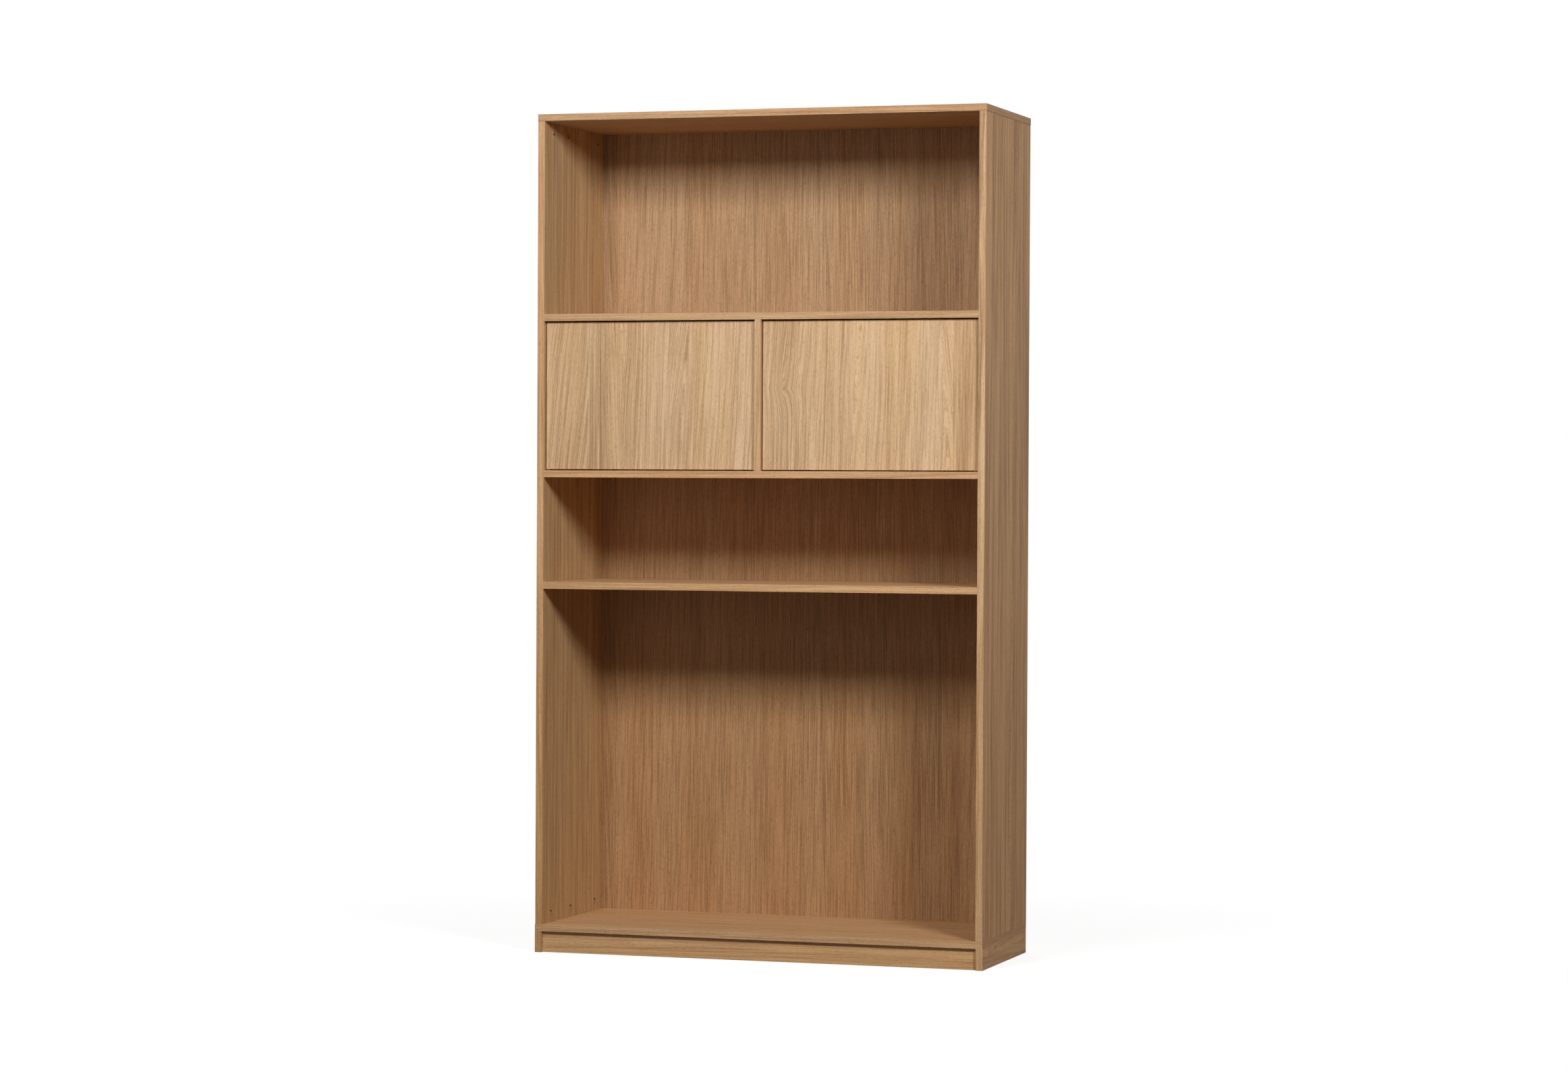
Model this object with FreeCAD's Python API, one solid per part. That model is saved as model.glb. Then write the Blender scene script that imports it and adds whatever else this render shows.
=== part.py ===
import FreeCAD, Part
import os
from FreeCAD import Vector

# Tall bookcase of oak-veneered boards: open bays above and below a pair of cupboards with inset doors.
# Millimetres, +Z up, front towards -Y, origin on the floor at the middle of the plan.

# Driving dimensions: case
WIDTH = 1190.0  # over the ends of the top and bottom panels
CASE_DEPTH = 430.0  # sides and shelves, front edge to rear edge
BOARD = 18.0  # thickness of the case boards
DIVIDER = 16.0  # thickness of the board between the cupboards
BACK_THICKNESS = 5.0
BACK_LAP = 2.0  # back panel below the upper face of the bottom panel, behind it
SIDE_INSET = 1.0  # sides stand this far in from the panel ends
EDGE_EASE = 0.6  # rounding along the board edges

# Driving dimensions: heights from the floor up
PLINTH_HEIGHT = 54.0
LOWER_BAY = 862.0
MIDDLE_BAY = 268.0
CUPBOARD_BAY = 382.0
UPPER_BAY = 494.0

# Driving dimensions: plinth
PLINTH_SETBACK = 10.0  # front board behind the front ends of the side boards
PLINTH_CAM_FROM_END = 150.0  # cam locks of the front and rear boards, from the board ends
PLINTH_CAM_SHIFT = 32.0  # cam locks of the side boards, inwards from those of the case sides
PLINTH_DOWEL_SPREAD = 24.0  # between the two dowels of a plinth corner

# Driving dimensions: doors
DOOR_THICKNESS = 18.0
DOOR_GAP = 3.0  # clear all round each door
DOOR_RECESS = 12.0  # door fronts behind the front edges of the case

# Driving dimensions: pivot hinges
PIVOT_FROM_EDGE = 5.5  # turning axis from the door's hinge edge
PIVOT_FROM_FACE = 5.0  # turning axis behind the door's front face
PIN_RADIUS = 2.5
PIN_ENGAGEMENT = 9.0  # length of pin inside its bush
RIVET_RADIUS = 4.0
RIVET_THICKNESS = 1.5
LEAF_LENGTH = 60.0
LEAF_WIDTH = 14.0
LEAF_THICKNESS = 2.5
LEAF_MARGIN = 1.0  # leaf inside the door's hinge edge and front face
LEAF_SCREW_FROM_END = 9.0
LEAF_SCREW_PITCH = 24.0
BUSH_RADIUS = 4.0
BUSH_LENGTH = 12.0
FLANGE_RADIUS = 5.0
UPPER_FLANGE = 1.0

# Driving dimensions: push latches
HOUSING_WIDTH = 26.0
HOUSING_HEIGHT = 18.0
HOUSING_LENGTH = 62.0
HOUSING_EASE = 1.0
EAR_THICKNESS = 3.0
EAR_REACH = 11.0
EAR_LENGTH = 16.0
EAR_FROM_FRONT = 20.0
PLUNGER_RADIUS = 4.2
PLUNGER_PLAY = 0.3
PLUNGER_LENGTH = 44.0
PLUNGER_STAND = 2.5  # plunger tip ahead of the housing with the door shut
PLUNGER_REST_GAP = 0.2  # plunger tip to strike plate with the door shut
SPRING_ROOM = 10.0  # bore left behind the plunger
MAGNET_RADIUS = 3.0
MAGNET_THICKNESS = 3.0
STRIKE_WIDTH = 14.0
STRIKE_HEIGHT = 40.0
STRIKE_THICKNESS = 1.5
STRIKE_SCREW_FROM_END = 6.0

# Driving dimensions: cam locks, bolts, caps and dowels
CAM_FRONT = 64.0  # first cam lock behind the front edge
CAM_REAR = 46.0  # last cam lock ahead of the rear edge
CAM_MIDDLE_SHARE = 0.4  # middle cam lock, as a share of the way from the first to the last
CAM_MIDDLE_SHARE_TOP = 0.327  # the same at the upper ends of the sides
CAM_MIDDLE_SHARE_FOOT = 0.444  # the same at the lower ends of the sides
CAM_SETBACK = 24.0  # cam lock centre from the board's end
CAM_RADIUS = 7.5
CAM_DEPTH = 12.5
CAM_CATCH = 3.0  # bolt head past the cam's centre
BOLT_RADIUS = 3.0
BOLT_GRIP = 11.0
CAP_RADIUS = 8.5
CAP_THICKNESS = 1.2
CAP_EASE = 0.5
CAP_CRESCENT = 6.0  # widest part of the opening left beside the cap
DOWEL_RADIUS = 4.0
DOWEL_IN_END = 18.0
DOWEL_IN_FACE = 11.0

# Driving dimensions: screws, as shank radius, head radius and length
LEAF_SCREW = (1.6, 3.3, 24.0)
LATCH_SCREW = (1.4, 2.8, 10.0)
STRIKE_SCREW = (1.2, 2.4, 11.0)
BACK_SCREW = (1.5, 3.0, 18.0)
SIDE_SCREW_COUNT = 8
SHELF_SCREW_COUNT = 4
DIVIDER_SCREW_COUNT = 2

# Clearances
PLAY = 0.1  # round fixed hardware in its holes
RUNNING_PLAY = 0.05  # round the pivot pins

# Derived places
HALF = WIDTH / 2
SIDE_OUTER = HALF - SIDE_INSET
SIDE_INNER = SIDE_OUTER - BOARD
DEPTH = CASE_DEPTH + BACK_THICKNESS
FRONT = -DEPTH / 2
CASE_REAR = FRONT + CASE_DEPTH
REAR = DEPTH / 2
FLOOR_PANEL_TOP = PLINTH_HEIGHT + BOARD
OPEN_SHELF_UNDER = FLOOR_PANEL_TOP + LOWER_BAY
OPEN_SHELF_TOP = OPEN_SHELF_UNDER + BOARD
LOWER_SHELF_UNDER = OPEN_SHELF_TOP + MIDDLE_BAY
CUPBOARD_FLOOR = LOWER_SHELF_UNDER + BOARD
CUPBOARD_CEILING = CUPBOARD_FLOOR + CUPBOARD_BAY
UPPER_SHELF_TOP = CUPBOARD_CEILING + BOARD
TOP_UNDER = UPPER_SHELF_TOP + UPPER_BAY
HEIGHT = TOP_UNDER + BOARD
PLINTH_INNER = HALF - BOARD
PLINTH_FRONT = FRONT + PLINTH_SETBACK
DOOR_FRONT = FRONT + DOOR_RECESS
DOOR_BACK = DOOR_FRONT + DOOR_THICKNESS
DOOR_TOP = CUPBOARD_CEILING - DOOR_GAP
DOOR_BOTTOM = CUPBOARD_FLOOR + DOOR_GAP
DOOR_HINGE_EDGE = SIDE_INNER - DOOR_GAP
DOOR_FREE_EDGE = DIVIDER / 2 + DOOR_GAP
PIVOT_X = DOOR_HINGE_EDGE - PIVOT_FROM_EDGE
PIVOT_Y = DOOR_FRONT + PIVOT_FROM_FACE
LATCH_X = DIVIDER / 2 + HOUSING_WIDTH / 2
LATCH_Z = (CUPBOARD_FLOOR + CUPBOARD_CEILING) / 2
PLUNGER_TIP = DOOR_BACK + STRIKE_THICKNESS + PLUNGER_REST_GAP
HOUSING_FRONT = PLUNGER_TIP + PLUNGER_STAND
CAM_LAST = CASE_DEPTH - CAM_REAR
CAM_SPREAD = CAM_LAST - CAM_FRONT
CAM_MIDDLE = CAM_FRONT + CAM_MIDDLE_SHARE * CAM_SPREAD
DOWEL_PLACES = ((CAM_FRONT + CAM_MIDDLE) / 2, (CAM_MIDDLE + CAM_LAST) / 2)

ALONG_Y = Vector(0, 1, 0)
UP = Vector(0, 0, 1)
SIDES = (("left", -1), ("right", 1))

blanks = {}
cuts = {}
hardware = {}


def block(x0, x1, y0, y1, z0, z1):
    """Box between two opposite corners, given in any order."""
    corner = Vector(min(x0, x1), min(y0, y1), min(z0, z1))
    return Part.makeBox(abs(x1 - x0), abs(y1 - y0), abs(z1 - z0), corner)


def board(x0, x1, y0, y1, z0, z1):
    """Flat board with all its edges eased."""
    blank = block(x0, x1, y0, y1, z0, z1)
    thinnest = min(abs(x1 - x0), abs(y1 - y0), abs(z1 - z0))
    return blank.makeFillet(min(EDGE_EASE, thinnest / 4), blank.Edges)


def rod(start, direction, radius, length):
    """Round bar from a start point along a direction."""
    return Part.makeCylinder(radius, length, start, direction)


def screw(start, direction, sizes, play=0.0):
    """Countersunk screw with its flush head at start; with play it is the hole for that screw."""
    shank, head, length = sizes
    cone = Part.makeCone(head + play, shank + play, head - shank, start, direction)
    stem = rod(start, direction, shank + play, length + play)
    return cone.fuse(stem).removeSplitter()


def cut_from(node, tool):
    """Keep a tool to cut from a board when its fittings are all known."""
    cuts.setdefault(node, []).append(tool)


def add_hardware(node, solid):
    """Add one more solid to a piece of hardware, or to a group of like fasteners."""
    hardware.setdefault(node, []).append(solid)


def drive_screw(node, start, direction, sizes, *through):
    """Add a screw to its group, and cut its hole in each piece that it passes through."""
    add_hardware(node, screw(start, direction, sizes))
    for piece in through:
        cut_from(piece, screw(start, direction, sizes, PLAY))


def cover_cap(seat, inward, reach):
    """Thin round cap over a cam lock, open in a crescent at the rear on the side away from the joint."""
    disc = rod(seat, inward * -1, CAP_RADIUS, CAP_THICKNESS)
    outer = seat - inward * CAP_THICKNESS
    rim = [edge for edge in disc.Edges if edge.CenterOfMass.distanceToPoint(outer) < CAP_THICKNESS / 10]
    eased = disc.makeFillet(min(CAP_EASE, CAP_THICKNESS / 2), rim)
    towards_joint = (reach - ALONG_Y).normalize()
    kept_start = seat + towards_joint * CAP_CRESCENT + inward * CAP_THICKNESS
    return eased.common(rod(kept_start, inward * -1, CAP_RADIUS, 3 * CAP_THICKNESS))


def cam_joint(holder, receiver, seat, inward, reach, thickness=BOARD, capped=True):
    """Cam lock let into the holder's face, and its bolt out of the holder's end into the receiver."""
    bolt_start = seat + inward * (thickness / 2) - reach * CAM_CATCH
    bolt_length = CAM_CATCH + CAM_SETBACK + BOLT_GRIP
    bolt_hole = rod(bolt_start, reach, BOLT_RADIUS + PLAY, bolt_length + PLAY)
    add_hardware("cam_bolts", rod(bolt_start, reach, BOLT_RADIUS, bolt_length))
    add_hardware("cam_locks", rod(seat, inward, CAM_RADIUS, CAM_DEPTH).cut(bolt_hole))
    cut_from(holder, rod(seat, inward, CAM_RADIUS + PLAY, CAM_DEPTH + PLAY))
    cut_from(holder, bolt_hole)
    cut_from(receiver, bolt_hole)
    if capped:
        add_hardware("cam_cover_caps", cover_cap(seat, inward, reach))


def dowel_joint(holder, receiver, mouth, reach):
    """Dowel across a joint; mouth is the point on the holder's end where the two boards meet."""
    start = mouth - reach * DOWEL_IN_END
    length = DOWEL_IN_END + DOWEL_IN_FACE
    hole = rod(start - reach * PLAY, reach, DOWEL_RADIUS + PLAY, length + 2 * PLAY)
    add_hardware("dowels", rod(start, reach, DOWEL_RADIUS, length))
    cut_from(holder, hole)
    cut_from(receiver, hole)


def joint_row(holder, receiver, x, z, inward, reach, thickness=BOARD, middle_share=CAM_MIDDLE_SHARE):
    """Cam locks and dowels from front to back where the holder's end meets the receiver's face."""
    for place in (CAM_FRONT, CAM_FRONT + middle_share * CAM_SPREAD, CAM_LAST):
        cam_joint(holder, receiver, Vector(x, FRONT + place, z), inward, reach, thickness)
    for place in DOWEL_PLACES:
        seat = Vector(x, FRONT + place, z)
        dowel_joint(holder, receiver, seat + inward * (thickness / 2) + reach * CAM_SETBACK, reach)


def evenly(low, high, count):
    """Places spread evenly inside a length, half a step clear of its ends."""
    step = (high - low) / count
    return [low + step * (index + 0.5) for index in range(count)]


def case_boards():
    """Top, bottom, sides, shelves, divider and back."""
    blanks["top_panel"] = board(-HALF, HALF, FRONT, REAR, TOP_UNDER, HEIGHT)
    blanks["bottom_panel"] = board(-HALF, HALF, FRONT, CASE_REAR, PLINTH_HEIGHT, FLOOR_PANEL_TOP)
    for side, m in SIDES:
        blanks[side + "_side"] = board(
            m * SIDE_INNER, m * SIDE_OUTER, FRONT, CASE_REAR, FLOOR_PANEL_TOP, TOP_UNDER)
    shelves = {
        "upper_shelf": CUPBOARD_CEILING,
        "lower_shelf": LOWER_SHELF_UNDER,
        "open_shelf": OPEN_SHELF_UNDER,
    }
    for shelf, under in shelves.items():
        blanks[shelf] = board(-SIDE_INNER, SIDE_INNER, FRONT, CASE_REAR, under, under + BOARD)
    blanks["centre_divider"] = board(
        -DIVIDER / 2, DIVIDER / 2, FRONT, CASE_REAR, CUPBOARD_FLOOR, CUPBOARD_CEILING)
    blanks["back_panel"] = board(
        -SIDE_OUTER, SIDE_OUTER, CASE_REAR, REAR, FLOOR_PANEL_TOP - BACK_LAP, TOP_UNDER)
    for side, m in SIDES:
        outward = Vector(m, 0, 0)
        board_name = side + "_side"
        joint_row(
            board_name, "top_panel", m * SIDE_INNER, TOP_UNDER - CAM_SETBACK, outward, UP,
            middle_share=CAM_MIDDLE_SHARE_TOP)
        joint_row(
            board_name, "bottom_panel", m * SIDE_INNER, FLOOR_PANEL_TOP + CAM_SETBACK, outward, UP * -1,
            middle_share=CAM_MIDDLE_SHARE_FOOT)
        for shelf, under in shelves.items():
            joint_row(shelf, board_name, m * (SIDE_INNER - CAM_SETBACK), under, UP, outward)
    divider_joints = {
        "upper_shelf": (CUPBOARD_CEILING - CAM_SETBACK, UP),
        "lower_shelf": (CUPBOARD_FLOOR + CAM_SETBACK, UP * -1),
    }
    for shelf, (z, reach) in divider_joints.items():
        joint_row("centre_divider", shelf, -DIVIDER / 2, z, Vector(1, 0, 0), reach, DIVIDER)


def back_screws():
    """Screws through the back panel into the rear edges of the sides, shelves and divider."""
    def fasten(node, x, z):
        drive_screw("back_panel_screws", Vector(x, REAR, z), ALONG_Y * -1, BACK_SCREW, "back_panel", node)

    for side, m in SIDES:
        for z in evenly(FLOOR_PANEL_TOP, TOP_UNDER, SIDE_SCREW_COUNT):
            fasten(side + "_side", m * (SIDE_INNER + BOARD / 2), z)
    shelf_middles = {
        "upper_shelf": CUPBOARD_CEILING + BOARD / 2,
        "lower_shelf": LOWER_SHELF_UNDER + BOARD / 2,
        "open_shelf": OPEN_SHELF_UNDER + BOARD / 2,
    }
    for shelf, z in shelf_middles.items():
        for x in evenly(-SIDE_INNER, SIDE_INNER, SHELF_SCREW_COUNT):
            fasten(shelf, x, z)
    for z in evenly(CUPBOARD_FLOOR, CUPBOARD_CEILING, DIVIDER_SCREW_COUNT):
        fasten("centre_divider", 0, z)


def plinth():
    """Base of four boards on edge: two at the ends, a front one set back and a rear one between them."""
    rear_front = CASE_REAR - BOARD
    crossing = {
        "plinth_front_board": (PLINTH_FRONT, PLINTH_FRONT + BOARD, ALONG_Y * -1),
        "plinth_rear_board": (rear_front, CASE_REAR, ALONG_Y),
    }
    cam_z = PLINTH_HEIGHT - CAM_SETBACK
    for side, m in SIDES:
        end_board = "plinth_" + side + "_board"
        blanks[end_board] = board(m * PLINTH_INNER, m * HALF, FRONT, CASE_REAR, 0, PLINTH_HEIGHT)
        for place in (CAM_FRONT + PLINTH_CAM_SHIFT, CAM_LAST - PLINTH_CAM_SHIFT):
            seat = Vector(m * PLINTH_INNER, FRONT + place, cam_z)
            cam_joint(end_board, "bottom_panel", seat, Vector(m, 0, 0), UP, capped=False)
    for name, (near, far, outward) in crossing.items():
        blanks[name] = board(-PLINTH_INNER, PLINTH_INNER, near, far, 0, PLINTH_HEIGHT)
        hidden_face = far if outward.y < 0 else near
        for side, m in SIDES:
            seat = Vector(m * (PLINTH_INNER - PLINTH_CAM_FROM_END), hidden_face, cam_z)
            cam_joint(name, "bottom_panel", seat, outward, UP, capped=False)
            for step in (-1, 1):
                z = (PLINTH_HEIGHT + step * PLINTH_DOWEL_SPREAD) / 2
                mouth = Vector(m * PLINTH_INNER, (near + far) / 2, z)
                dowel_joint(name, "plinth_" + side + "_board", mouth, Vector(m, 0, 0))


def pivot_hinge(side, m, level, s):
    """Leaf and pin in the door's top or bottom edge, and the flanged bush in the shelf that it meets."""
    door = side + "_door"
    name = side + "_" + level
    edge, shelf, shelf_face, flange = {
        "upper": (DOOR_TOP, "upper_shelf", CUPBOARD_CEILING, UPPER_FLANGE),
        "lower": (DOOR_BOTTOM, "lower_shelf", CUPBOARD_FLOOR, DOOR_GAP - RUNNING_PLAY),
    }[level]
    towards_shelf = UP * s
    leaf_start = DOOR_HINGE_EDGE - LEAF_MARGIN
    leaf_front = DOOR_FRONT + LEAF_MARGIN
    leaf = block(
        m * leaf_start, m * (leaf_start - LEAF_LENGTH),
        leaf_front, leaf_front + LEAF_WIDTH, edge, edge - s * LEAF_THICKNESS)
    cut_from(door, leaf)
    leaf_node = name + "_hinge_leaf"
    blanks[leaf_node] = leaf

    pin_foot = Vector(m * PIVOT_X, PIVOT_Y, edge - s * (LEAF_THICKNESS + RIVET_THICKNESS))
    pin_length = RIVET_THICKNESS + LEAF_THICKNESS + DOOR_GAP + PIN_ENGAGEMENT
    pin = rod(pin_foot, towards_shelf, PIN_RADIUS, pin_length)
    rivet = rod(pin_foot, towards_shelf, RIVET_RADIUS, RIVET_THICKNESS)
    add_hardware(name + "_hinge_pin", pin.fuse(rivet).removeSplitter())
    cut_from(leaf_node, rod(pin_foot, towards_shelf, PIN_RADIUS + PLAY, pin_length))
    rivet_seat = pin_foot - towards_shelf * PLAY
    cut_from(door, rod(rivet_seat, towards_shelf, RIVET_RADIUS + PLAY, RIVET_THICKNESS + PLAY))

    far_screw = leaf_start - LEAF_LENGTH + LEAF_SCREW_FROM_END
    for x in (far_screw, far_screw + LEAF_SCREW_PITCH):
        head = Vector(m * x, leaf_front + LEAF_WIDTH / 2, edge)
        drive_screw(side + "_hinge_screws", head, towards_shelf * -1, LEAF_SCREW, leaf_node, door)

    mouth = Vector(m * PIVOT_X, PIVOT_Y, shelf_face)
    collar = rod(mouth - towards_shelf * flange, towards_shelf, FLANGE_RADIUS, flange)
    sleeve = rod(mouth, towards_shelf, BUSH_RADIUS, BUSH_LENGTH)
    bore = rod(mouth - towards_shelf * flange, towards_shelf, PIN_RADIUS + RUNNING_PLAY, flange + BUSH_LENGTH)
    add_hardware(name + "_pivot_bush", collar.fuse(sleeve).cut(bore))
    cut_from(shelf, rod(mouth, towards_shelf, BUSH_RADIUS + PLAY, BUSH_LENGTH + PLAY))


def push_latch(side, m):
    """Housing on the divider, plunger with a magnet in its tip, and strike plate on the back of the door."""
    outward = Vector(m, 0, 0)
    face = DIVIDER / 2
    housing_node = side + "_latch_housing"
    body = block(
        m * face, m * (face + HOUSING_WIDTH), HOUSING_FRONT, HOUSING_FRONT + HOUSING_LENGTH,
        LATCH_Z - HOUSING_HEIGHT / 2, LATCH_Z + HOUSING_HEIGHT / 2)
    body = body.makeFillet(HOUSING_EASE, body.Edges)
    ear_start = HOUSING_FRONT + EAR_FROM_FRONT
    ear_top = HOUSING_HEIGHT / 2 + EAR_REACH
    ears = block(
        m * face, m * (face + EAR_THICKNESS), ear_start, ear_start + EAR_LENGTH,
        LATCH_Z - ear_top, LATCH_Z + ear_top)
    tip = Vector(m * LATCH_X, PLUNGER_TIP, LATCH_Z)
    bore_length = PLUNGER_LENGTH + SPRING_ROOM
    bore = rod(tip, ALONG_Y, PLUNGER_RADIUS + PLUNGER_PLAY, bore_length)
    blanks[housing_node] = body.fuse(ears).removeSplitter().cut(bore)
    for step in (-1, 1):
        z = LATCH_Z + step * (ear_top - EAR_REACH / 2)
        head = Vector(m * (face + EAR_THICKNESS), ear_start + EAR_LENGTH / 2, z)
        drive_screw("latch_screws", head, outward * -1, LATCH_SCREW, housing_node, "centre_divider")

    plunger = rod(tip, ALONG_Y, PLUNGER_RADIUS, PLUNGER_LENGTH)
    seat = rod(tip, ALONG_Y, MAGNET_RADIUS + PLAY, MAGNET_THICKNESS + PLAY)
    add_hardware(side + "_latch_plunger", plunger.cut(seat))
    add_hardware(side + "_latch_magnet", rod(tip, ALONG_Y, MAGNET_RADIUS, MAGNET_THICKNESS))

    plate_node = side + "_strike_plate"
    plate_half = STRIKE_HEIGHT / 2
    blanks[plate_node] = block(
        m * (LATCH_X - STRIKE_WIDTH / 2), m * (LATCH_X + STRIKE_WIDTH / 2),
        DOOR_BACK, DOOR_BACK + STRIKE_THICKNESS, LATCH_Z - plate_half, LATCH_Z + plate_half)
    for step in (-1, 1):
        z = LATCH_Z + step * (plate_half - STRIKE_SCREW_FROM_END)
        head = Vector(m * LATCH_X, DOOR_BACK + STRIKE_THICKNESS, z)
        drive_screw(side + "_strike_screws", head, ALONG_Y * -1, STRIKE_SCREW, plate_node, side + "_door")


def doors():
    """Two flat doors set into the cupboard fronts, each turning on pins at its outer edge."""
    for side, m in SIDES:
        blanks[side + "_door"] = board(
            m * DOOR_FREE_EDGE, m * DOOR_HINGE_EDGE, DOOR_FRONT, DOOR_BACK, DOOR_BOTTOM, DOOR_TOP)
        pivot_hinge(side, m, "upper", 1)
        pivot_hinge(side, m, "lower", -1)
        push_latch(side, m)


def write_parts():
    """Cut every hole, then write each piece to a file under its own name."""
    os.makedirs("parts", exist_ok=True)
    for node, blank in blanks.items():
        tools = cuts.get(node, [])
        finished = blank.cut(tools) if tools else blank
        solids = finished.Solids
        print(node, "solids", len(solids), "volume", round(finished.Volume))
        solids[0].exportStep("parts/" + node + ".step")
    for node, solids in hardware.items():
        single = solids[0].Solids[0]
        group = Part.makeCompound([solid.Solids[0] for solid in solids]) if len(solids) > 1 else single
        print(node, "solids", len(group.Solids), "volume", round(group.Volume))
        group.exportStep("parts/" + node + ".step")


case_boards()
back_screws()
plinth()
doors()
write_parts()
print("overall", WIDTH, DEPTH, HEIGHT)
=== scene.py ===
import math
from collections import namedtuple
import bpy
from mathutils import Matrix, Vector


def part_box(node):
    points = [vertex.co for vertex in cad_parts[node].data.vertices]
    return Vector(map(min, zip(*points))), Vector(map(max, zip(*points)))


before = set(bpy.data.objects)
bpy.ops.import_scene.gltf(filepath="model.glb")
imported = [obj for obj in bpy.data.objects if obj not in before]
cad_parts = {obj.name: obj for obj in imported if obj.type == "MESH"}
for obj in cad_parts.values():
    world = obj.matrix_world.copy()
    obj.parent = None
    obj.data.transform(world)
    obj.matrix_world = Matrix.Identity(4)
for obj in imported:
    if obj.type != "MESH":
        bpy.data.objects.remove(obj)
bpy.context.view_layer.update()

# Camera, read from the photograph's edges; metres and degrees
PHOTO_WIDTH_PIXELS = 2324
FOCAL_PIXELS = 6047.6
SENSOR_WIDTH_MM = 36.0
CAMERA_PLACE = Vector((3.2272, -9.9854, 1.2031))
CAMERA_YAW = 17.897  # turned to the left, towards the case
CAMERA_PITCH = 0.716  # tilted down
CAMERA_ROLL = -0.278
CAMERA_REACH = 100.0  # sees this far, past the floor's edge

# Studio light: two softboxes high in front, a large weak one low in front, one behind, and a dim room
Softbox = namedtuple("Softbox", "name size place watts")
SOFTBOXES = (
    Softbox("right_softbox", 1.0, Vector((3.36, -3.61, 3.22)), 147.0),
    Softbox("left_softbox", 1.0, Vector((-0.45, -3.61, 3.22)), 81.0),
    Softbox("front_softbox", 3.0, Vector((-1.20, -7.00, 1.60)), 26.0),
    Softbox("rear_softbox", 2.0, Vector((-2.00, 4.60, 2.40)), 110.0),
)
LIGHT_AIM = Vector((0.0, 0.0, 1.15))
ROOM_LIGHT = 0.01

# Floor
FLOOR_HALF_SIZE = 30.0
FLOOR_COLOUR = (0.26, 0.26, 0.26, 1.0)
FLOOR_BOUNCE = (0.130, 0.118, 0.104, 1.0)  # what the floor sends back to the object
FLOOR_GLOW = 0.86  # what the camera sees on top of the lit floor
FLOOR_WHITE_FROM = 0.9  # metres from the case where the floor starts to turn plain white
FLOOR_WHITE_TO = 2.0

WHITE = (1.0, 1.0, 1.0, 1.0)
GRAIN_X, GRAIN_Y, GRAIN_Z = range(3)
END_FACE = 0.7  # a face looks along an axis when its normal lies this far along it
MIDDLE = 0.5  # of a noise or a random share, which run from 0 to 1

# Sockets of the Mix node that carry colours, by number because others have the same names
MIX_FACTOR = 0
MIX_FIRST = 6
MIX_SECOND = 7
MIX_RESULT = 2


class Value:
    """One output of a finish's nodes; arithmetic on it adds Math nodes."""

    def __init__(self, finish, socket):
        self.finish = finish
        self.socket = socket

    def __add__(self, other):
        return self.finish.maths("ADD", self, other)

    __radd__ = __add__

    def __sub__(self, other):
        return self.finish.maths("SUBTRACT", self, other)

    def __rsub__(self, other):
        return self.finish.maths("SUBTRACT", other, self)

    def __mul__(self, other):
        return self.finish.maths("MULTIPLY", self, other)

    __rmul__ = __mul__

    def __truediv__(self, other):
        return self.finish.maths("DIVIDE", self, other)

    def __pow__(self, other):
        return self.finish.maths("POWER", self, other)

    def __gt__(self, other):
        return self.finish.maths("GREATER_THAN", self, other)


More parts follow.
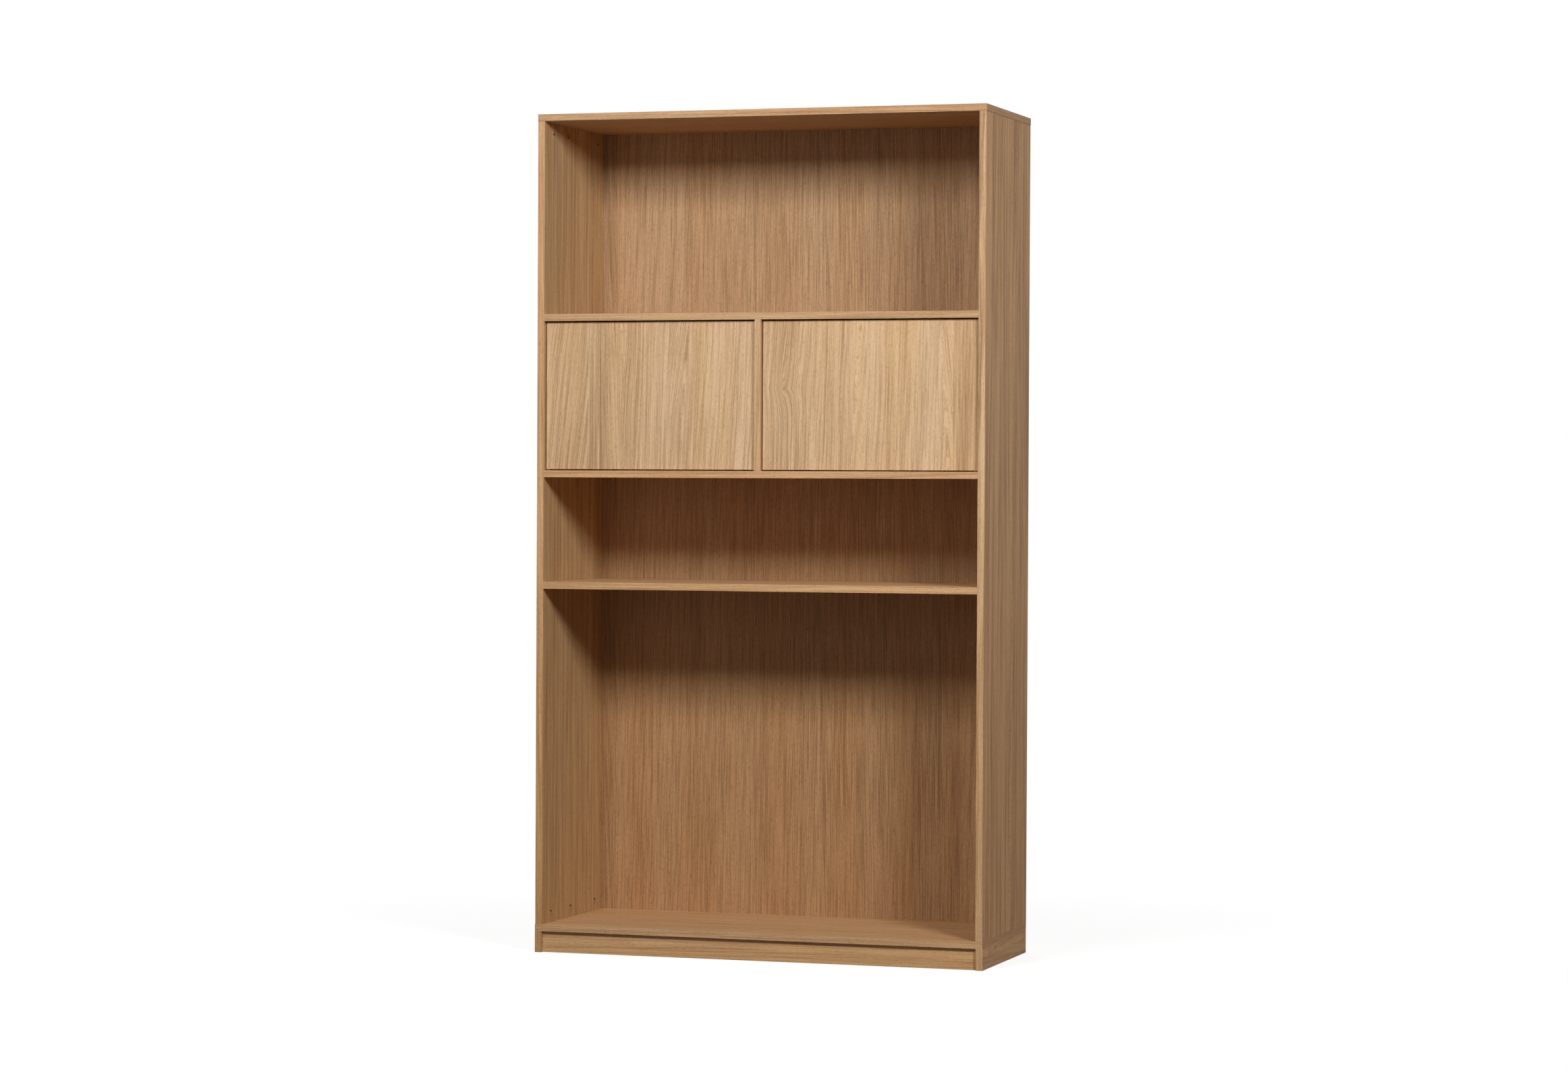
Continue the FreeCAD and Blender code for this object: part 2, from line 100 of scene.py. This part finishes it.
class Finish:
    """Material whose look is written as expressions on its nodes."""

    def __init__(self, name, tree=None):
        self.material = None
        if tree is None:
            self.material = bpy.data.materials.new(name)
            self.material.use_nodes = True
            tree = self.material.node_tree
        self.tree = tree
        self.tree.nodes.clear()

    def node(self, kind, settings=None, sockets=None, output=0):
        """Add a node: its settings first, then values or links for its sockets; gives one output."""
        made = self.tree.nodes.new("ShaderNode" + kind)
        for name, setting in (settings or {}).items():
            setattr(made, name, setting)
        for key, value in (sockets or {}).items():
            if isinstance(value, Value):
                self.tree.links.new(value.socket, made.inputs[key])
            else:
                made.inputs[key].default_value = value
        return Value(self, made.outputs[output]) if made.outputs else None

    def maths(self, operation, *values):
        """Math node on numbers and values."""
        return self.node("Math", {"operation": operation}, dict(enumerate(values)))

    def mix(self, factor, first, second, mode="MIX"):
        """Mix of two colours."""
        settings = {"data_type": "RGBA", "blend_type": mode}
        sockets = {MIX_FACTOR: factor, MIX_FIRST: first, MIX_SECOND: second}
        return self.node("Mix", settings, sockets, output=MIX_RESULT)

    def ramp(self, value, low, high):
        """0 below low, 1 above high, and smooth between."""
        settings = {"interpolation_type": "SMOOTHSTEP"}
        return self.node("MapRange", settings, {"Value": value, "From Min": low, "From Max": high})

    def channels(self, colour):
        """Red, green and blue of a colour as three values."""
        return [self.node("SeparateColor", None, {"Color": colour}, output=channel) for channel in range(3)]

    def steps(self, value, stops):
        """Colour that holds from each stop to the next; stops are (place, colour) pairs, the first at 0."""
        made = self.node("ValToRGB", None, {"Fac": value})
        ramp = made.socket.node.color_ramp
        ramp.interpolation = "CONSTANT"
        ramp.elements[0].color = stops[0][1]
        ramp.elements.remove(ramp.elements[-1])
        for place, colour in stops[1:]:
            ramp.elements.new(place).color = colour
        return made

    def layer(self, layer, across, along, seed):
        """Noise of one layer on lengths across and along the grain; seed picks the pattern."""
        place = {"X": across * layer.across, "Y": along * layer.along, "Z": seed + layer.offset}
        sockets = {"Vector": self.node("CombineXYZ", None, place), "Scale": 1.0,
                   "Detail": layer.detail, "Roughness": layer.roughness}
        noise = self.node("TexNoise", {"noise_dimensions": "3D"}, sockets)
        return self.ramp(noise, *layer.limits) if layer.limits else noise

    def surface(self, sockets, height=None, relief=0.0):
        """Finish the material with a Principled shader; height times relief, in metres, feeds its normal."""
        if height is not None:
            sockets = dict(sockets)
            sockets["Normal"] = self.node("Bump", None, {
                "Strength": 1.0, "Distance": relief, "Height": height})
        shader = self.node("BsdfPrincipled", None, sockets)
        self.node("OutputMaterial", None, {"Surface": shader})
        return self.material


# Oak veneer, lengths in metres. The wood runs from pale to deep, with warm patches in the pale wood, and
# pore is the colour of the open pores. The edge tint sets the banded front edges apart from the faces of
# the same board: painted light and shade for how the lamps fall on them. The low tint darkens and warms
# the lower part: painted shade for the light that falls off towards the floor. The end tint darkens the
# board ends that look sideways down there: painted shade. leaf: width of one veneer leaf; hearts: where
# its heart may lie, in leaf widths; ring and streak: spacing of growth rings and streaks; lean: range of
# their slopes; arch: how wide the figure opens at the heart of a leaf; wander: how far the figure strays
# sideways; the depths say how strongly each layer shows. The doors have chosen leaves, so no leaf, hearts
# or lean.
Oak = namedtuple("Oak", (
    "pale warm deep pore edge end foot ring streak arch wander "
    "ring_depth streak_depth fine_depth pore_depth band_depth seed leaf hearts lean"),
    defaults=(None, None, None))

DOOR_OAK = Oak(
    pale=(0.735, 0.510, 0.310, 1.0), warm=(0.725, 0.477, 0.256, 1.0), deep=(0.393, 0.220, 0.105, 1.0),
    pore=(0.300, 0.165, 0.078, 1.0), edge=WHITE, end=WHITE, foot=WHITE,
    ring=0.0072, streak=0.0083, arch=0.006, wander=0.030,
    ring_depth=0.60, streak_depth=0.50, fine_depth=0.52, pore_depth=0.85, band_depth=0.36, seed=3.0)
BOARD_OAK = Oak(
    pale=(0.700, 0.450, 0.255, 1.0), warm=(0.690, 0.425, 0.215, 1.0), deep=(0.390, 0.208, 0.094, 1.0),
    pore=(0.290, 0.150, 0.065, 1.0), edge=WHITE, end=(0.87, 0.74, 0.64, 1.0), foot=WHITE,
    leaf=0.130, hearts=(-2.6, -0.6), ring=0.0055, streak=0.0083, lean=0.012, arch=0.010, wander=0.016,
    ring_depth=0.60, streak_depth=0.50, fine_depth=0.46, pore_depth=0.75, band_depth=0.40, seed=11.0)
LEFT_SIDE_OAK = BOARD_OAK._replace(
    pale=(0.668, 0.455, 0.245, 1.0), warm=(0.649, 0.423, 0.210, 1.0), deep=(0.371, 0.213, 0.101, 1.0),
    pore=(0.269, 0.136, 0.057, 1.0), edge=(1.05, 0.93, 0.87, 1.0), foot=(0.99, 0.96, 0.90, 1.0),
    end=WHITE, leaf=0.215, hearts=(-1.0, 2.0), ring=0.0100, streak=0.0140, lean=0.012, arch=0.012,
    wander=0.024, ring_depth=0.80, streak_depth=0.62, seed=23.0)
RIGHT_SIDE_OAK = LEFT_SIDE_OAK._replace(
    pale=(0.779, 0.472, 0.238, 1.0), warm=(0.757, 0.438, 0.203, 1.0), deep=(0.405, 0.205, 0.090, 1.0),
    pore=(0.291, 0.128, 0.049, 1.0), edge=(0.92, 1.02, 1.14, 1.0), foot=(0.93, 0.86, 0.78, 1.0),
    ring=0.0130, streak=0.0200, lean=0.030, arch=0.020, wander=0.040,
    ring_depth=1.00, streak_depth=0.90, seed=29.0)
BACK_OAK = Oak(
    pale=(0.526, 0.339, 0.190, 1.0), warm=(0.516, 0.312, 0.163, 1.0), deep=(0.246, 0.139, 0.065, 1.0),
    pore=(0.183, 0.097, 0.044, 1.0), edge=WHITE, end=WHITE, foot=(0.96, 0.86, 0.75, 1.0),
    leaf=0.190, hearts=(-2.6, -0.6), ring=0.0048, streak=0.0083, lean=0.005, arch=0.005, wander=0.012,
    ring_depth=0.24, streak_depth=0.30, fine_depth=0.72, pore_depth=0.95, band_depth=0.26, seed=37.0)
LOW_SHADE_FULL_BELOW = 0.55  # heights between which the painted low shade fades out
LOW_SHADE_NONE_ABOVE = 1.45

# Layers of the figure. across and along: patterns per metre across and along the grain, though the streaks
# count across in the oak's own spacing; offset: keeps the layers' patterns apart; limits: the noise at which
# a layer begins to show and the noise at which it shows fully.
Layer = namedtuple("Layer", "across along offset detail roughness limits", defaults=(2.0, 0.5, None))
WANDER = Layer(across=7.0, along=1.4, offset=0.5)
RIPPLE = Layer(across=60.0, along=5.0, offset=1.5)
SPACING = Layer(across=30.0, along=0.6, offset=2.5)
PATCHES = Layer(across=50.0, along=1.6, offset=3.5, detail=1.0, limits=(0.30, 0.66))
FINE = Layer(across=480.0, along=6.0, offset=4.5, roughness=0.6, limits=(0.34, 0.66))
FIBRE = Layer(across=1100.0, along=45.0, offset=5.5)
PORES = Layer(across=520.0, along=95.0, offset=6.5, detail=3.0, roughness=0.7, limits=(0.50, 0.66))
BANDS = Layer(across=17.0, along=0.6, offset=7.5)
STREAKS = Layer(across=1.0, along=1.3, offset=8.5, detail=4.0, roughness=0.62, limits=(0.34, 0.70))
BLUSH = Layer(across=13.0, along=0.7, offset=9.5, detail=3.0, limits=(0.36, 0.64))
RIPPLE_PUSH = 0.0030  # metres that the ripple pushes the figure sideways
FLANK_STEP = 40.0  # patterns per metre from the heart, so that a leaf's two flanks differ
SPACING_SHIFT = 4.5  # rings by which the spacing moves them
RING_RISE = 2.6  # power by which a ring darkens towards its late wood
RING_FALL = 4.0  # the ring's share over which it falls back to pale, as one part in this many
DARKNESS_START = 0.25  # darkness that the layers need before the wood leaves its pale colour
BAND_MIDDLE = 0.4
PORES_OFF_RING = 0.35  # how strongly pores show away from the rings
FIBRE_SHADE = (0.86, 1.14)
OAK_ROUGHNESS = 0.56
PORE_ROUGHNESS = 0.18  # added in the pores
RING_ROUGHNESS = 0.06  # added in the rings
OAK_GLOSS = 0.15
OAK_RELIEF = 0.0002  # metres; the three below are shares of it
FIBRE_HEIGHT = 0.25
PORE_DEPTH = 0.5
RING_DEPTH = 0.3

# Boards with random leaves
LEAF_SHIFT = 0.37  # leaf widths by which each unit of the seed moves the leaves
LEAF_CLIMB = 0.05  # difference in climb between two leaves, at most, in metres per metre of grain
LEAF_STEP = 0.3  # metres between the figures of two leaves, at most
LEAF_TONE = 0.16  # difference in darkness between two leaves, at most

# Boards are veneered from different sheets: each one's tint of the common oak, and its pattern
BOARD_SHEETS = {
    "top_panel": ((0.864, 0.838, 0.835), 11.0),
    "upper_shelf": ((0.950, 0.955, 0.970), 12.3),
    "lower_shelf": ((0.993, 0.937, 0.882), 13.1),
    "open_shelf": ((1.020, 0.990, 0.945), 14.7),
    "bottom_panel": ((0.980, 0.950, 0.915), 15.9),
    "plinth_front_board": ((1.040, 1.000, 0.920), 16.4),
    "plinth_rear_board": ((1.040, 1.000, 0.920), 17.8),
}
DIVIDER_SHEET = ((0.950, 0.950, 0.950), 41.0)

# Veneer leaf of a door, from its left edge on. Start and heart are shares of the door's width, slope is the
# rings' lean to the right going up, rise how fast the figure climbs, and tone makes the leaf darker.
Leaf = namedtuple("Leaf", "start heart slope rise tone")
LEAF_HEART_RANGE = (-1.0, 2.0)
LEAF_SLOPE_RANGE = (-0.25, 0.25)
LEAF_RISE_RANGE = (-0.10, 0.10)
LEAF_TONE_RANGE = (-0.5, 0.5)
LEFT_DOOR_LEAVES = (
    Leaf(0.00, -0.40, 0.095, 0.00, 0.06),
    Leaf(0.20, -0.60, 0.010, 0.00, 0.18),
    Leaf(0.255, -0.45, -0.010, 0.00, 0.38),
    Leaf(0.288, 0.385, -0.100, 0.05, 0.00),
    Leaf(0.37, -0.50, 0.030, 0.00, 0.04),
    Leaf(0.60, 0.665, 0.075, 0.03, 0.03),
    Leaf(0.76, -0.30, 0.040, 0.00, -0.10),
)
RIGHT_DOOR_LEAVES = (
    Leaf(0.00, -0.40, 0.010, 0.00, 0.14),
    Leaf(0.17, -0.60, 0.036, 0.00, -0.04),
    Leaf(0.39, 0.440, 0.055, -0.03, -0.10),
    Leaf(0.48, -0.50, 0.030, 0.00, -0.06),
    Leaf(0.81, 0.845, -0.060, 0.06, 0.00),
    Leaf(0.885, -0.30, 0.000, 0.00, 0.28),
)
RIGHT_DOOR_SEED = 8.0

# Local swirl in the grain: its place on the face, how far it pushes the rings, and how far that reaches
# to the sides, upwards and downwards
Swirl = namedtuple("Swirl", "x z push reach rise fall")
RIGHT_DOOR_SWIRL = Swirl(x=0.064, z=1.444, push=0.024, reach=0.034, rise=0.110, fall=0.030)

# Hardware: name of the material, its colour and its roughness
ZINC_PLATED_STEEL = ("zinc_plated_steel", (0.66, 0.66, 0.68, 1.0), 0.34)
# Painted shade: hinge leaves and pins near-black, so that they stay as dark as the shade in the door gaps
GAP_SHADE_STEEL = ("steel_darkened_as_gap_shade", (0.060, 0.050, 0.044, 1.0), 0.55)
# Painted shade: cam locks near-black, so that the bores beside the caps show as dark as shade
BORE_SHADE_ALLOY = ("zinc_alloy_darkened_as_bore_shade", (0.035, 0.030, 0.027, 1.0), 0.60)
MAGNET = ("sintered_magnet", (0.10, 0.10, 0.11, 1.0), 0.55)
LATCH_PLASTIC = ("grey_latch_plastic", (0.20, 0.20, 0.21, 1.0), 0.48)
BLACK_NYLON = ("black_nylon", (0.018, 0.018, 0.019, 1.0), 0.50)
CAP_PLASTIC = ("brown_cap_plastic", (0.40, 0.235, 0.115, 1.0), 0.50)

# Speckle of the hardware, in patterns per metre: clouds in its colour, and fine marks that change its
# roughness by up to half of swing and stand up by relief, in metres
Speckle = namedtuple("Speckle", "clouds cloud_detail marks mark_detail swing relief")
METAL_SPECKLE = Speckle(
    clouds=90.0, cloud_detail=3.0, marks=1400.0, mark_detail=2.0, swing=0.16, relief=0.00003)
PLASTIC_SPECKLE = Speckle(
    clouds=60.0, cloud_detail=2.0, marks=2600.0, mark_detail=1.0, swing=0.12, relief=0.00004)
METAL_CLOUD_TINT = (0.72, 0.72, 0.72)
METAL_CLOUD_LIMITS = (0.35, 0.70)
PLASTIC_CLOUD_TINT = (1.18, 1.18, 1.18)
PLASTIC_CLOUD_LIFT = 0.004

# Raw beech
BEECH_COLOUR = (0.62, 0.44, 0.29, 1.0)
BEECH_FLECK_COLOUR = (0.42, 0.26, 0.15, 1.0)
BEECH_FLECKS = Layer(across=900.0, along=260.0, offset=0.0, limits=(0.58, 0.68))
BEECH_SEED = 5.0
BEECH_FLECK_DEPTH = 0.5
BEECH_ROUGHNESS = 0.62
BEECH_FLECK_ROUGHNESS = 0.1  # added in the flecks


def unit(value, limits):
    """Place of a value between two limits, from 0 to 1."""
    return (value - limits[0]) / (limits[1] - limits[0])


def spread(value, limits):
    """Value between two limits from its place, 0 to 1."""
    return limits[0] + value * (limits[1] - limits[0])


def tinted(colour, tint, lift=0.0):
    """Colour with each channel multiplied by its tint, and all lifted."""
    return tuple(min(1.0, channel * share + lift) for channel, share in zip(colour, tint)) + (1.0,)


def facing(finish, axis):
    """1 on the faces that look along an axis, otherwise 0."""
    normal = finish.node("TexCoord", output="Normal")
    share = finish.node("SeparateXYZ", None, {"Vector": normal}, output=axis)
    return finish.maths("ABSOLUTE", share) > END_FACE


def grain_lengths(finish, grain):
    """Lengths across and along the grain on every face of a board; its ends are banded crosswise."""
    place = finish.node("TexCoord", output="Object")
    lengths = [finish.node("SeparateXYZ", None, {"Vector": place}, output=axis) for axis in range(3)]
    along, band, third = [lengths[(grain + step) % 3] for step in range(3)]
    swap = facing(finish, grain) * (along - band)
    return band + third + swap, along - swap, lengths


def swirl_push(finish, swirl, lengths):
    """Sideways push on the rings round a swirl, fading slowly above it and quickly below."""
    over = lengths[2] - swirl.z
    fade = finish.maths("MAXIMUM", over / swirl.rise, over / -swirl.fall)
    aside = finish.maths("ABSOLUTE", lengths[0] - swirl.x) / swirl.reach
    return swirl.push * finish.maths("EXPONENT", -1.0 * (fade + aside))


def random_leaves(finish, oak, across, along):
    """Even veneer leaves with random hearts: distance from the leaf's heart, its climb and its tone."""
    leaf_place = across / oak.leaf + oak.seed * LEAF_SHIFT
    leaf_number = finish.maths("FLOOR", leaf_place)
    sockets = {"W": leaf_number + oak.seed}
    chance = finish.node("TexWhiteNoise", {"noise_dimensions": "1D"}, sockets, output="Color")
    heart, slope, tone = finish.channels(chance)
    from_heart = (leaf_place - leaf_number - spread(heart, oak.hearts)) * oak.leaf
    from_heart = from_heart - along * (slope - MIDDLE) * oak.lean
    climb = (tone - MIDDLE) * along * LEAF_CLIMB + tone * LEAF_STEP
    return from_heart, climb, (tone - MIDDLE) * LEAF_TONE


def door_leaves(finish, leaves, door, lengths):
    """Chosen veneer leaves of one door: distance from the leaf's heart, its climb and its tone."""
    low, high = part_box(door)
    width = high.x - low.x
    share = (lengths[0] - low.x) / width
    above = lengths[2] - (low.z + high.z) / 2
    stops = [(leaf.start, (
        unit(leaf.heart, LEAF_HEART_RANGE), unit(leaf.slope, LEAF_SLOPE_RANGE),
        unit(leaf.rise, LEAF_RISE_RANGE), unit(leaf.tone, LEAF_TONE_RANGE))) for leaf in leaves]
    table = finish.steps(share, stops)
    heart, slope, rise = finish.channels(table)
    tone = Value(finish, table.socket.node.outputs["Alpha"])
    from_heart = (share - spread(heart, LEAF_HEART_RANGE)) * width - above * spread(slope, LEAF_SLOPE_RANGE)
    from_heart = from_heart + (lengths[1] - low.y)  # nothing on the front, the figure's run on the edges
    return from_heart, above * spread(rise, LEAF_RISE_RANGE), spread(tone, LEAF_TONE_RANGE)


def oak_material(name, oak, grain, door=None, leaves=(), swirl=None):
    """Matt-lacquered oak veneer with leaves, growth rings, fine streaks and open pores along one axis."""
    finish = Finish(name)
    across, along, lengths = grain_lengths(finish, grain)
    if leaves:
        from_heart, climb, tone = door_leaves(finish, leaves, door, lengths)
    else:
        from_heart, climb, tone = random_leaves(finish, oak, across, along)

    # Every finer layer follows this flow, so that rings, streaks and pores bend together
    wander = finish.layer(WANDER, across, along, oak.seed) - MIDDLE
    ripple = finish.layer(RIPPLE, across, along, oak.seed) - MIDDLE
    from_heart = from_heart + wander * oak.wander + ripple * RIPPLE_PUSH
    if swirl:
        from_heart = from_heart + swirl_push(finish, swirl, lengths)
    flow = finish.maths("SQRT", from_heart * from_heart + oak.arch * oak.arch) + climb
    flank = oak.seed + from_heart * FLANK_STEP

    spacing = finish.layer(SPACING, flow, along, flank)
    saw = finish.maths("FRACT", flow / oak.ring + spacing * SPACING_SHIFT)
    ring = saw ** RING_RISE * finish.maths("MINIMUM", (1.0 - saw) * RING_FALL, 1.0)
    ring = ring * finish.layer(PATCHES, flow, along, flank)
    streak = finish.layer(STREAKS, flow / oak.streak, along, flank)
    fine = finish.layer(FINE, flow, along, flank)
    fibre = finish.layer(FIBRE, flow, along, flank)
    pore = finish.layer(PORES, flow, along, flank)
    band = finish.layer(BANDS, across, along, oak.seed)
    blush = finish.layer(BLUSH, across, along, oak.seed)

    darkness = ring * oak.ring_depth + streak * oak.streak_depth + fine * oak.fine_depth - DARKNESS_START
    darkness = darkness + (band - BAND_MIDDLE) * oak.band_depth + tone
    colour = finish.mix(darkness, finish.mix(blush, oak.pale, oak.warm), oak.deep)
    colour = finish.mix(pore * spread(ring, (PORES_OFF_RING, 1.0)) * oak.pore_depth, colour, oak.pore)
    shade = spread(fibre, FIBRE_SHADE)
    grey = finish.node("CombineColor", None, {"Red": shade, "Green": shade, "Blue": shade})
    colour = finish.mix(1.0, colour, grey, mode="MULTIPLY")
    # Painted shade: darker and warmer towards the floor, for the light that falls off low down
    low_shade_share = 1.0 - finish.ramp(lengths[2], LOW_SHADE_FULL_BELOW, LOW_SHADE_NONE_ABOVE)
    colour = finish.mix(low_shade_share, colour, oak.foot, mode="MULTIPLY")
    # Painted shade on the board ends that look sideways, low down
    if oak.end != WHITE:
        colour = finish.mix(low_shade_share * facing(finish, grain), colour, oak.end, mode="MULTIPLY")
    # Painted light and shade: the front edges tinted apart from the faces of the same board
    if oak.edge != WHITE:
        colour = finish.mix(facing(finish, GRAIN_Y), colour, oak.edge, mode="MULTIPLY")

    roughness = OAK_ROUGHNESS + pore * PORE_ROUGHNESS + ring * RING_ROUGHNESS
    height = fibre * FIBRE_HEIGHT - pore * PORE_DEPTH - ring * RING_DEPTH
    sockets = {"Base Color": colour, "Roughness": roughness, "Specular IOR Level": OAK_GLOSS}
    return finish.surface(sockets, height, OAK_RELIEF)


def speckles(finish, speckle):
    """Clouds and marks of a piece of hardware."""
    place = finish.node("TexCoord", output="Object")
    noises = ((speckle.clouds, speckle.cloud_detail), (speckle.marks, speckle.mark_detail))
    return [finish.node("TexNoise", None, {"Vector": place, "Scale": scale, "Detail": detail})
            for scale, detail in noises]


def metal_material(name, colour, roughness):
    """Plated metal with fine rolling marks and slight cloudiness."""
    finish = Finish(name)
    clouds, marks = speckles(finish, METAL_SPECKLE)
    clouded = finish.ramp(clouds, *METAL_CLOUD_LIMITS)
    base = finish.mix(clouded, colour, tinted(colour, METAL_CLOUD_TINT))
    varied = roughness + (marks - MIDDLE) * METAL_SPECKLE.swing
    sockets = {"Base Color": base, "Metallic": 1.0, "Roughness": varied}
    return finish.surface(sockets, marks, METAL_SPECKLE.relief)


def plastic_material(name, colour, roughness):
    """Moulded plastic with a fine matt grain."""
    finish = Finish(name)
    clouds, marks = speckles(finish, PLASTIC_SPECKLE)
    base = finish.mix(clouds, colour, tinted(colour, PLASTIC_CLOUD_TINT, PLASTIC_CLOUD_LIFT))
    varied = roughness + (marks - MIDDLE) * PLASTIC_SPECKLE.swing
    return finish.surface({"Base Color": base, "Roughness": varied}, marks, PLASTIC_SPECKLE.relief)


def beech_material(name):
    """Raw beech of the dowels, with short flecks."""
    finish = Finish(name)
    across, along, _ = grain_lengths(finish, GRAIN_X)
    fleck = finish.layer(BEECH_FLECKS, across, along, BEECH_SEED)
    base = finish.mix(fleck * BEECH_FLECK_DEPTH, BEECH_COLOUR, BEECH_FLECK_COLOUR)
    return finish.surface({"Base Color": base, "Roughness": BEECH_ROUGHNESS + fleck * BEECH_FLECK_ROUGHNESS})


def other_sheet(oak, tint, seed):
    """Oak from another sheet: its colours tinted, and its own pattern."""
    return oak._replace(
        pale=tinted(oak.pale, tint), warm=tinted(oak.warm, tint), deep=tinted(oak.deep, tint),
        pore=tinted(oak.pore, tint), seed=seed)


def dress(node, material):
    """Give a CAD node its finish."""
    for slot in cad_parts[node].material_slots:
        slot.material = material


def dress_case():
    """Finishes of the boards, back and plinth."""
    for node, sheet in BOARD_SHEETS.items():
        dress(node, oak_material("oak_" + node, other_sheet(BOARD_OAK, *sheet), GRAIN_X))
    for side, oak in (("left", LEFT_SIDE_OAK), ("right", RIGHT_SIDE_OAK)):
        dress("plinth_" + side + "_board", oak_material("oak_plinth_" + side, oak, GRAIN_Y))
        dress(side + "_side", oak_material("oak_" + side + "_side", oak, GRAIN_Z))
    dress("centre_divider", oak_material("oak_divider", other_sheet(BOARD_OAK, *DIVIDER_SHEET), GRAIN_Z))
    dress("back_panel", oak_material("oak_back_panel", BACK_OAK, GRAIN_Z))


def dress_doors():
    """Finishes of the two doors, cut from different veneer."""
    left = oak_material("oak_left_door", DOOR_OAK, GRAIN_Z, "left_door", LEFT_DOOR_LEAVES)
    dress("left_door", left)
    oak = DOOR_OAK._replace(seed=RIGHT_DOOR_SEED)
    right = oak_material("oak_right_door", oak, GRAIN_Z, "right_door", RIGHT_DOOR_LEAVES, RIGHT_DOOR_SWIRL)
    dress("right_door", right)


def dress_hardware():
    """Finishes of hinges, latches, fasteners and caps."""
    zinc = metal_material(*ZINC_PLATED_STEEL)
    dark_gap_steel = metal_material(*GAP_SHADE_STEEL)
    dark_bore_alloy = metal_material(*BORE_SHADE_ALLOY)
    magnet = metal_material(*MAGNET)
    grey = plastic_material(*LATCH_PLASTIC)
    nylon = plastic_material(*BLACK_NYLON)
    cap = plastic_material(*CAP_PLASTIC)
    for side in ("left", "right"):
        for level in ("upper", "lower"):
            # near-black hinges: painted shade in the door gaps
            dress(side + "_" + level + "_hinge_leaf", dark_gap_steel)
            dress(side + "_" + level + "_hinge_pin", dark_gap_steel)
            dress(side + "_" + level + "_pivot_bush", nylon)
        for piece in ("hinge_screws", "strike_plate", "strike_screws"):
            dress(side + "_" + piece, zinc)
        dress(side + "_latch_housing", grey)
        dress(side + "_latch_plunger", grey)
        dress(side + "_latch_magnet", magnet)
    for node in ("latch_screws", "cam_bolts", "back_panel_screws"):
        dress(node, zinc)
    # Painted shade: near-black cam locks
    dress("cam_locks", dark_bore_alloy)
    dress("cam_cover_caps", cap)
    dress("dowels", beech_material("raw_beech"))


def seen_directly(finish):
    """1 for rays from the camera and for those off gloss or through glass, otherwise 0."""
    rays = [finish.node("LightPath", output=name)
            for name in ("Is Camera Ray", "Is Glossy Ray", "Is Transmission Ray")]
    return finish.maths("MINIMUM", rays[0] + rays[1] + rays[2], 1.0)


def floor():
    """Pale floor that keeps the case's shadow and turns plain white further off."""
    mesh = bpy.data.meshes.new("floor")
    corners = [(-1, -1), (1, -1), (1, 1), (-1, 1)]
    vertices = [(x * FLOOR_HALF_SIZE, y * FLOOR_HALF_SIZE, 0.0) for x, y in corners]
    mesh.from_pydata(vertices, [], [(0, 1, 2, 3)])
    piece = bpy.data.objects.new("floor", mesh)
    bpy.context.scene.collection.objects.link(piece)

    finish = Finish("pale_floor")
    place = finish.node("TexCoord", output="Object")
    distance = finish.node("VectorMath", {"operation": "LENGTH"}, {0: place}, output="Value")
    direct = seen_directly(finish)
    matt = finish.node("BsdfDiffuse", None, {"Color": finish.mix(direct, FLOOR_BOUNCE, FLOOR_COLOUR)})
    glow = finish.node("Emission", None, {"Color": WHITE, "Strength": direct * FLOOR_GLOW})
    lit = finish.node("AddShader", None, {0: matt, 1: glow})
    plain = finish.node("Emission", None, {"Color": WHITE, "Strength": 1.0})
    far = finish.ramp(distance, FLOOR_WHITE_FROM, FLOOR_WHITE_TO) * direct
    shader = finish.node("MixShader", None, {0: far, 1: lit, 2: plain})
    finish.node("OutputMaterial", None, {"Surface": shader})
    mesh.materials.append(finish.material)


def room():
    """White surroundings for the camera, and a plain soft light for the object."""
    world = bpy.data.worlds.new("studio")
    bpy.context.scene.world = world
    world.use_nodes = True
    finish = Finish("studio", world.node_tree)
    strength = ROOM_LIGHT + seen_directly(finish) * (1.0 - ROOM_LIGHT)
    shader = finish.node("Background", None, {"Color": WHITE, "Strength": strength})
    finish.node("OutputWorld", None, {"Surface": shader})


def add_softbox(softbox):
    """Square soft light aimed at the middle of the case."""
    lamp = bpy.data.lights.new(softbox.name, "AREA")
    lamp.shape = "SQUARE"
    lamp.size = softbox.size
    lamp.energy = softbox.watts
    piece = bpy.data.objects.new(softbox.name, lamp)
    piece.location = softbox.place
    piece.rotation_euler = (LIGHT_AIM - softbox.place).to_track_quat("-Z", "Y").to_euler()
    bpy.context.scene.collection.objects.link(piece)


def camera():
    """Camera at the photograph's place and angle."""
    yaw, pitch, roll = (math.radians(angle) for angle in (CAMERA_YAW, CAMERA_PITCH, CAMERA_ROLL))
    forward = Vector((-math.sin(yaw) * math.cos(pitch), math.cos(yaw) * math.cos(pitch), -math.sin(pitch)))
    level = Vector((math.cos(yaw), math.sin(yaw), 0.0))
    up = level.cross(forward)
    right = math.cos(roll) * level - math.sin(roll) * up
    top = math.sin(roll) * level + math.cos(roll) * up
    lens = bpy.data.cameras.new("photo_camera")
    lens.sensor_width = SENSOR_WIDTH_MM
    lens.sensor_fit = "HORIZONTAL"
    lens.lens = FOCAL_PIXELS / PHOTO_WIDTH_PIXELS * SENSOR_WIDTH_MM
    lens.clip_end = CAMERA_REACH
    piece = bpy.data.objects.new("photo_camera", lens)
    turn = Matrix((right, top, -forward)).transposed()
    piece.matrix_world = Matrix.Translation(CAMERA_PLACE) @ turn.to_4x4()
    bpy.context.scene.collection.objects.link(piece)
    bpy.context.scene.camera = piece


dress_case()
dress_doors()
dress_hardware()
floor()
room()
for light in SOFTBOXES:
    add_softbox(light)
camera()
bpy.context.scene.view_settings.view_transform = "Standard"
